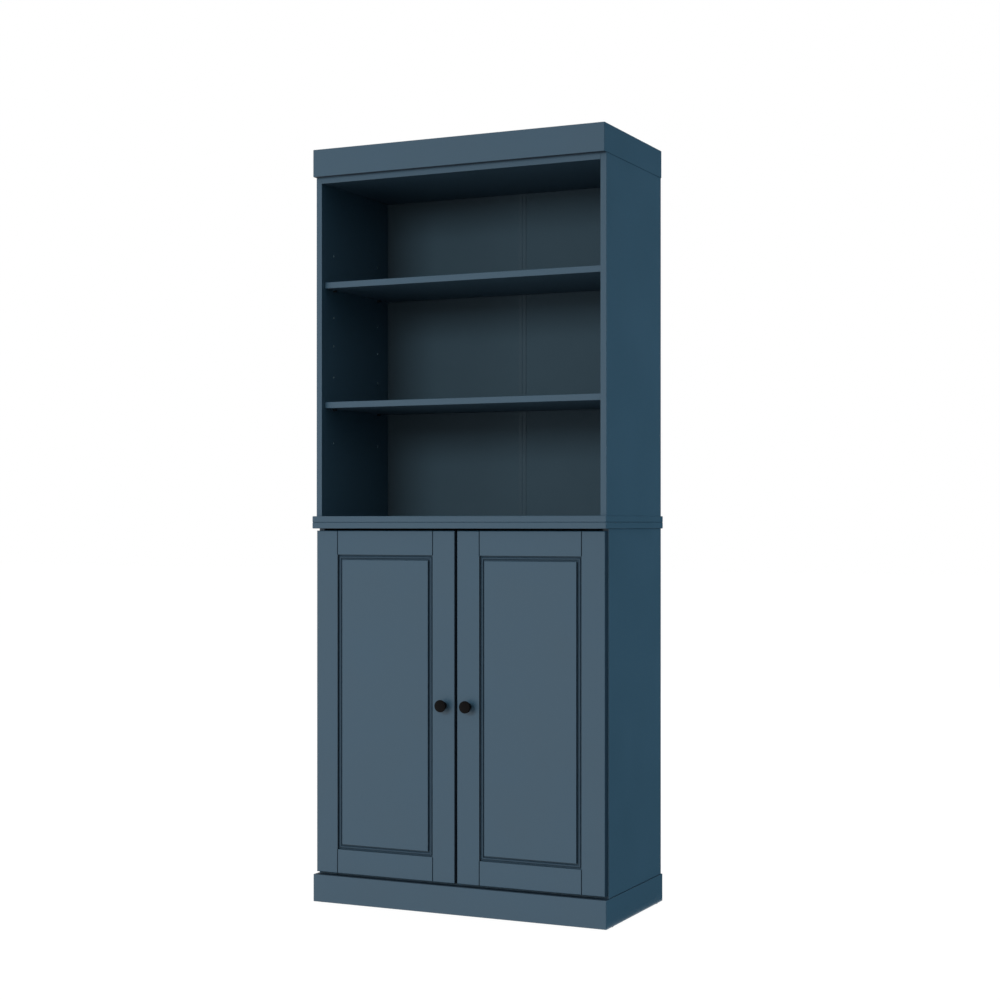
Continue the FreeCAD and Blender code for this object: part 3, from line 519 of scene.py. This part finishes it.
def turned_knob(name, node):
    """A knob as a spun mesh, in place of its CAD node and of the same size. The profile's radii
    are shares of the head's, and its heights are shares of the reach from the door."""
    low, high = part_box(node)
    centre = (low + high) / 2
    head = (high.x - low.x) / 2
    reach = high.y - low.y
    foot = 0.0085
    neck = 0.0055
    sides = 64
    same_point = 0.00002
    profile = [(0.0, 0.0), (foot, 0.0), (foot, 0.07 * reach)]
    profile += arc_points(profile[-1], (neck + 0.0008, 0.16 * reach), (neck, 0.3 * reach), 6)
    profile += [(neck, 0.39 * reach)]
    profile += arc_points(profile[-1], (0.62 * head, 0.57 * reach), (0.93 * head, 0.68 * reach), 10)
    profile += arc_points(profile[-1], (0.985 * head, 0.72 * reach), (head, 0.76 * reach), 4)
    profile += [(head, 0.83 * reach)]
    profile += arc_points(profile[-1], (0.97 * head, 0.895 * reach), (0.86 * head, 0.93 * reach), 6)
    profile += arc_points(profile[-1], (0.8 * head, 0.925 * reach), (0.74 * head, 0.95 * reach), 4)
    profile += arc_points(profile[-1], (0.37 * head, 0.9875 * reach), (0.0, reach), 8)
    mesh = bpy.data.meshes.new(name)
    shape = bmesh.new()
    corners = [shape.verts.new((radius, -height, 0.0)) for radius, height in profile]
    edges = [shape.edges.new(pair) for pair in zip(corners, corners[1:])]
    bmesh.ops.spin(
        shape, geom=corners + edges, axis=(0, 1, 0), cent=(0, 0, 0), angle=2 * math.pi, steps=sides
    )
    bmesh.ops.remove_doubles(shape, verts=shape.verts, dist=same_point)
    bmesh.ops.recalc_face_normals(shape, faces=shape.faces)
    bmesh.ops.translate(shape, verts=shape.verts, vec=(centre.x, high.y, centre.z))
    shape.to_mesh(mesh)
    shape.free()
    mesh.shade_smooth()
    mesh.set_sharp_from_angle(angle=math.radians(40))
    piece = bpy.data.objects.new(name, mesh)
    bpy.context.scene.collection.objects.link(piece)
    return piece


lacquer = black_lacquer()
for side in ("left", "right"):
    node = side + "_door_knob"
    piece = turned_knob(side + "_turned_knob", node)
    piece.data.materials.append(lacquer)
    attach(piece, side + "_door")
    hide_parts(node)


# ---- Door screws ----
# Zinc-plated screws with round heads and a cross recess. Two hold the wings of each hinge cup,
# and a longer one runs through the meeting stile into the knob.

def screw_tree(material):
    """A tree that sets a screw on each point, with its head to the rear and its shank ahead."""
    tree = bpy.data.node_groups.new("round_head_screws", "GeometryNodeTree")
    tree.interface.new_socket("Seats", in_out="INPUT", socket_type="NodeSocketGeometry")
    for name in ("Head Radius", "Head Height", "Shank Radius", "Length", "Pitch"):
        tree.interface.new_socket(name, in_out="INPUT", socket_type="NodeSocketFloat")
    tree.interface.new_socket("Screws", in_out="OUTPUT", socket_type="NodeSocketGeometry")
    given = add_node(tree, "NodeGroupInput", {}).outputs
    same_point = 0.000005

    # The screw's other sizes, each a share of one that is given
    shares = {
        "waste width": ("Head Radius", 3.0),
        "waste level": ("Head Height", -0.5),
        "recess length": ("Head Radius", 1.1),
        "recess width": ("Head Radius", 0.26),
        "core": ("Shank Radius", 0.75),
        "core tip": ("Shank Radius", 0.35),
        "thread tip": ("Shank Radius", 0.4),
        "thread ridge": ("Shank Radius", 0.22),
        "thread length": ("Length", 0.96),
    }
    size = {
        name: add_node(tree, "ShaderNodeMath", {0: given[whole], 1: share}, operation="MULTIPLY").outputs[0]
        for name, (whole, share) in shares.items()
    }
    radius, height = given["Head Radius"], given["Head Height"]
    triples = {
        "dome": (radius, radius, height),
        "waste": (size["waste width"], size["waste width"], height),
        "waste place": (0.0, 0.0, size["waste level"]),
        "recess across": (size["recess length"], size["recess width"], height),
        "recess upright": (size["recess width"], size["recess length"], height),
        "recess place": (0.0, 0.0, height),
    }
    span = {
        name: add_node(tree, "ShaderNodeCombineXYZ", {0: x, 1: y, 2: z}).outputs[0]
        for name, (x, y, z) in triples.items()
    }

    # The head: half of a flattened ball, less a cross
    ball = add_node(tree, "GeometryNodeMeshUVSphere", {"Segments": 32, "Rings": 16, "Radius": 1.0})
    dome = add_node(
        tree, "GeometryNodeTransform", {"Geometry": ball.outputs["Mesh"], "Scale": span["dome"]}
    )
    recessed = add_node(
        tree,
        "GeometryNodeMeshBoolean",
        {"Mesh 1": dome.outputs["Geometry"], "Self Intersection": True},
        operation="DIFFERENCE",
        solver="EXACT",
    )
    for block, place in (
        ("waste", "waste place"),
        ("recess across", "recess place"),
        ("recess upright", "recess place"),
    ):
        cutter = add_node(tree, "GeometryNodeMeshCube", {"Size": span[block]})
        cutter = add_node(
            tree, "GeometryNodeTransform", {"Geometry": cutter.outputs["Mesh"], "Translation": span[place]}
        )
        tree.links.new(cutter.outputs["Geometry"], recessed.inputs["Mesh 2"])
    clean = add_node(
        tree, "GeometryNodeMergeByDistance", {"Geometry": recessed.outputs["Mesh"], "Distance": same_point}
    )

    # The shank: a tapered core with a three-sided ridge wound round it
    core = add_node(
        tree,
        "GeometryNodeMeshCone",
        {
            "Vertices": 16,
            "Radius Top": size["core tip"],
            "Radius Bottom": size["core"],
            "Depth": given["Length"],
        },
    )
    turns = add_node(tree, "ShaderNodeMath", {0: given["Length"], 1: given["Pitch"]}, operation="DIVIDE")
    helix = add_node(
        tree,
        "GeometryNodeCurveSpiral",
        {
            "Resolution": 12,
            "Rotations": turns.outputs[0],
            "Start Radius": size["core"],
            "End Radius": size["thread tip"],
            "Height": size["thread length"],
        },
    )
    ridge = add_node(
        tree, "GeometryNodeCurvePrimitiveCircle", {"Resolution": 3, "Radius": size["thread ridge"]}
    )
    thread = add_node(
        tree,
        "GeometryNodeCurveToMesh",
        {"Curve": helix.outputs["Curve"], "Profile Curve": ridge.outputs["Curve"], "Fill Caps": True},
    )
    driven = add_node(tree, "GeometryNodeJoinGeometry", {})
    tree.links.new(thread.outputs["Mesh"], driven.inputs["Geometry"])
    tree.links.new(core.outputs["Mesh"], driven.inputs["Geometry"])
    driven = add_node(
        tree,
        "GeometryNodeTransform",
        {"Geometry": driven.outputs["Geometry"], "Rotation": (math.pi, 0.0, 0.0)},
    )
    screw = add_node(tree, "GeometryNodeJoinGeometry", {})
    tree.links.new(driven.outputs["Geometry"], screw.inputs["Geometry"])
    tree.links.new(clean.outputs["Geometry"], screw.inputs["Geometry"])
    placed = add_node(
        tree,
        "GeometryNodeInstanceOnPoints",
        {
            "Points": given["Seats"],
            "Instance": screw.outputs["Geometry"],
            "Rotation": (-math.pi / 2, 0.0, 0.0),
        },
    )
    solid = add_node(tree, "GeometryNodeRealizeInstances", {"Geometry": placed.outputs["Instances"]})
    finished = add_node(
        tree, "GeometryNodeSetMaterial", {"Geometry": solid.outputs["Geometry"], "Material": material}
    )
    add_node(tree, "NodeGroupOutput", {"Screws": finished.outputs["Geometry"]})
    return tree


def screws_on(name, tree, seats, sizes):
    """The mesh that the tree gives for these seats and sizes."""
    points = bpy.data.meshes.new(name)
    points.from_pydata(seats, [], [])
    holder = bpy.data.objects.new(name, points)
    bpy.context.scene.collection.objects.link(holder)
    modifier = holder.modifiers.new("screws", "NODES")
    modifier.node_group = tree
    for socket in tree.interface.items_tree:
        if socket.name in sizes:
            modifier[socket.identifier] = sizes[socket.name]
    ready = holder.evaluated_get(bpy.context.evaluated_depsgraph_get())
    mesh = bpy.data.meshes.new_from_object(ready)
    bpy.data.objects.remove(holder)
    return mesh


cup_screw = {
    "Head Radius": 0.0035,
    "Head Height": 0.0018,
    "Shank Radius": 0.00175,
    "Length": 0.010,
    "Pitch": 0.0014,
}
knob_screw = {
    "Head Radius": 0.0045,
    "Head Height": 0.0024,
    "Shank Radius": 0.002,
    "Length": 0.025,
    "Pitch": 0.0007,
}
door_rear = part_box("left_door_hinge_stile")[1].y
cup_seat_x = 0.3562
cup_wing = 0.001
cup_seat_heights = (0.1515, 0.1965, 0.7815, 0.8265)
tree = screw_tree(zinc_plate)
for side, across in (("left", -1), ("right", 1)):
    knob_low, knob_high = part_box(side + "_door_knob")
    middle = (knob_low + knob_high) / 2
    cup_seats = [(across * cup_seat_x, door_rear + cup_wing, z) for z in cup_seat_heights]
    shape = bmesh.new()
    shape.from_mesh(screws_on("cup_screws", tree, cup_seats, cup_screw))
    shape.from_mesh(screws_on("knob_screw", tree, [(middle.x, door_rear, middle.z)], knob_screw))
    mesh = bpy.data.meshes.new(side + "_door_round_head_screws")
    shape.to_mesh(mesh)
    shape.free()
    mesh.materials.append(zinc_plate)
    mesh.shade_smooth()
    mesh.set_sharp_from_angle(angle=math.radians(35))
    piece = bpy.data.objects.new(mesh.name, mesh)
    bpy.context.scene.collection.objects.link(piece)
    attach(piece, side + "_door")
    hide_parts(side + "_door_screws")


# ---- Studio ----
# A pale floor under an even white dome, with a soft lamp on each side of the object. Black flags,
# out of sight, keep the white out of the sheen: some stand and lie by the right-hand side, and
# another hangs high in front of the crown.

def stage_plane(name, corners, faces, colour):
    """A matt stage piece, with its node tree and its shader."""
    mesh = bpy.data.meshes.new(name)
    mesh.from_pydata(corners, [], faces)
    plane = bpy.data.objects.new(name, mesh)
    bpy.context.scene.collection.objects.link(plane)
    material, tree, shader, _ = start_material(name)
    shader.inputs["Base Color"].default_value = linear(colour)
    shader.inputs["Roughness"].default_value = 0.9
    shader.inputs["Specular IOR Level"].default_value = 0.0
    mesh.materials.append(material)
    return plane, tree, shader


def share_seen(tree, share):
    """How much of a surface or dome is plain white: a share of it to the eye and in reflections."""
    seen = add_node(tree, "ShaderNodeLightPath", {})
    direct = add_node(
        tree,
        "ShaderNodeMath",
        {0: seen.outputs["Is Camera Ray"], 1: seen.outputs["Is Glossy Ray"]},
        operation="ADD",
    )
    direct = add_node(
        tree,
        "ShaderNodeMath",
        {0: direct.outputs[0], 1: seen.outputs["Is Transmission Ray"]},
        operation="ADD",
        use_clamp=True,
    )
    return add_node(tree, "ShaderNodeMath", {0: direct.outputs[0], 1: share}, operation="MULTIPLY").outputs[0]


# The floor is white to the eye, but sends only a middling light up at the object, and a tenth of
# it takes the object's shadow.
floor_reach = 30.0
floor_bounce = "#7A7A7A"
floor_seen = "#F4F4F4"
floor_glow = 1.06
glow_share = 0.9
_, tree, shader = stage_plane(
    "studio_floor",
    [(x * floor_reach, y * floor_reach, 0.0) for x, y in ((-1, -1), (1, -1), (1, 1), (-1, 1))],
    [(0, 1, 2, 3)],
    floor_bounce,
)
white = add_node(tree, "ShaderNodeEmission", {"Color": (1.0, 1.0, 1.0, 1.0), "Strength": floor_glow})
blend = add_node(
    tree,
    "ShaderNodeMixShader",
    {0: share_seen(tree, glow_share), 1: shader.outputs[0], 2: white.outputs[0]},
)
pale = add_node(
    tree,
    "ShaderNodeMix",
    {0: share_seen(tree, 1.0), 6: linear(floor_bounce), 7: linear(floor_seen)},
    data_type="RGBA",
)
tree.links.new(pale.outputs[2], shader.inputs["Base Color"])
tree.links.new(blend.outputs[0], tree.nodes["Material Output"].inputs["Surface"])

# The flags: a wall along flag_line, a roof over it and a sheet on the floor, which both come in
# to a corner beside the object, and the hanging one.
flag_line = [(-0.6, 3.4), (2.4, 3.4), (5.0, 0.6), (5.2, -1.6), (3.6, -5.0)]
near_corner_y = -0.2
roof_edge, roof_level = 0.4, 5.0
sheet_edge, sheet_level = 0.388, 0.003
hanging = [(-8.0, 4.4), (2.0, 4.4), (2.0, 9.0), (-8.0, 9.0)]
hanging_y = -6.5
corners = [(x, y, 0.0) for x, y in flag_line]
corners += [(x, y, roof_level) for x, y in flag_line]
corners += [(roof_edge, near_corner_y, roof_level)]
corners += [(max(x, sheet_edge), y, sheet_level) for x, y in flag_line]
corners += [(sheet_edge, near_corner_y, sheet_level)]
corners += [(x, hanging_y, z) for x, z in hanging]
walls = [(corner, corner + 1, corner + 6, corner + 5) for corner in range(4)]
faces = walls + [(5, 6, 7, 8, 9, 10), (11, 12, 13, 14, 15, 16), (17, 18, 19, 20)]
flags, _, _ = stage_plane("black_flags", corners, faces, "#0A0A0A")
flags.visible_camera = False
flags.visible_diffuse = False
flags.visible_shadow = False

scene = bpy.context.scene
world = bpy.data.worlds.new("white_dome")
scene.world = world
world.use_nodes = True
tree = world.node_tree
dome_level = 0.55
level = add_node(
    tree, "ShaderNodeMix", {0: share_seen(tree, 1.0), 2: dome_level, 3: 1.0}, data_type="FLOAT"
)
sky = tree.nodes["Background"]
sky.inputs["Color"].default_value = (1.0, 1.0, 1.0, 1.0)
tree.links.new(level.outputs[0], sky.inputs["Strength"])

lamp_target = Vector((0.0, 0.0, 0.6))


def softbox(name, place, size, watts):
    """A soft rectangular lamp that faces the middle of the object and shows in no reflection."""
    lamp = bpy.data.lights.new(name, "AREA")
    lamp.shape = "RECTANGLE"
    lamp.size = size[0]
    lamp.size_y = size[1]
    lamp.energy = watts
    stand = bpy.data.objects.new(name, lamp)
    scene.collection.objects.link(stand)
    stand.location = place
    aim = lamp_target - stand.location
    stand.rotation_euler = aim.to_track_quat("-Z", "Y").to_euler()
    stand.visible_glossy = False


softbox("left_softbox", place=(-4.8, -4.6, 1.3), size=(1.2, 2.2), watts=30.0)
softbox("front_softbox", place=(-1.5, -6.0, 2.7), size=(2.4, 1.6), watts=150.0)
softbox("right_softbox", place=(5.0, 1.3, 1.0), size=(1.6, 2.2), watts=168.0)
softbox("rear_softbox", place=(0.0, 6.0, 2.4), size=(2.4, 1.6), watts=150.0)

# The camera is level, at the height of the cabinet's top, and turned from the front to the right.
camera_turn = 25.06
camera_data = bpy.data.cameras.new("camera")
camera_data.sensor_width = 36.0
camera_data.lens = 67.36
camera_data.shift_y = 0.0244
camera = bpy.data.objects.new("camera", camera_data)
scene.collection.objects.link(camera)
camera.location = (1.957, -4.108, 0.919)
camera.rotation_euler = (math.radians(90), 0.0, math.radians(camera_turn))
scene.camera = camera
scene.view_settings.view_transform = "Standard"
